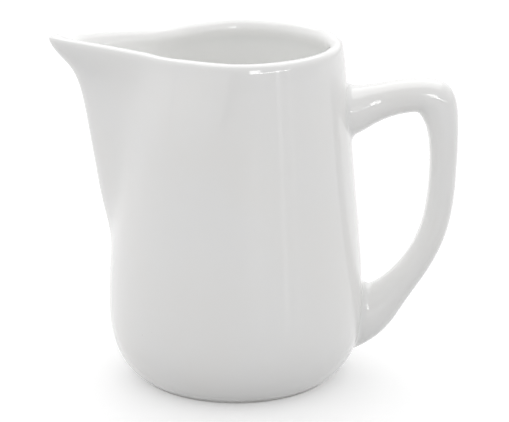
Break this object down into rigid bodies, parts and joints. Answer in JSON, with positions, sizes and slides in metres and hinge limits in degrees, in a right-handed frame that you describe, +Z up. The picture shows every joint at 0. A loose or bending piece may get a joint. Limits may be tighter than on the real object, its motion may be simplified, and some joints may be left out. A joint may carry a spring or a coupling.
{
  "type": "ceramic pitcher",
  "caption": "White glazed porcelain milk pitcher for the table: pear-shaped body, beak spout drawn out of the rim, D-shaped handle and bare foot ring.",
  "frame": {"origin": "centre of the foot ring's resting plane, on the axis of the round body", "axes": "+Z up along the body's axis; +X from the axis towards the handle, so the spout points along -X; the XZ plane is the mirror plane through spout and handle"},
  "size_m": [0.1237, 0.0788, 0.1067],
  "materials": {
    "glazed_porcelain": "clear gloss glaze over white porcelain",
    "glazed_slip": "clear gloss glaze over white slip",
    "biscuit_porcelain": "bare, fine-ground matt porcelain"
  },
  "bodies": {
    "root": {"body": "glazed_porcelain", "spout": "glazed_porcelain", "spout_slip_seam": "glazed_slip", "handle": "glazed_porcelain", "handle_upper_slip_joint": "glazed_slip", "handle_lower_slip_joint": "glazed_slip", "foot_ring": "biscuit_porcelain"}
  },
  "joints": []
}
